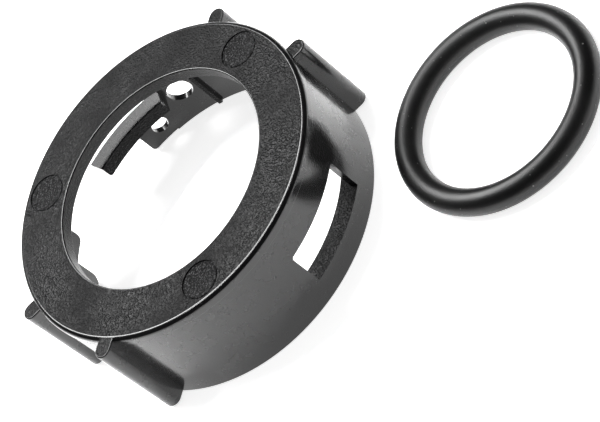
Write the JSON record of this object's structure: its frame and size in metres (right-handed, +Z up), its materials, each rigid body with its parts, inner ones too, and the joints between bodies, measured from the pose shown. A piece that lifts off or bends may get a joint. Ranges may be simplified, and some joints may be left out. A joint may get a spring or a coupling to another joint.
{
  "type": "twist-lock mounting collar with o-ring",
  "caption": "Black moulded twist-lock collar with a flat annular face, deep slotted wall, locking ledges and grip ribs, with its loose thick rubber O-ring.",
  "frame": {"origin": "centre of the footprint of the collar and the O-ring together, on the surface they lie on", "axes": "+Z up, along the collar's axis, out of its flat face; +X along the middle line between the collar's grip ribs"},
  "size_m": [0.188, 0.1972, 0.043],
  "materials": {
    "black_plastic": "satin black moulding, finely pebbled on its face",
    "black_rubber": "smooth dull-sheen black rubber"
  },
  "bodies": {
    "collar_body": {"collar": "black_plastic"},
    "o_ring_body": {"o_ring": "black_rubber"}
  },
  "joints": [
    {"name": "o_ring_lift", "type": "slide", "parent": "collar_body", "child": "o_ring_body", "axis": [0, 0, 1], "range_m": [0, 0.06]}
  ]
}
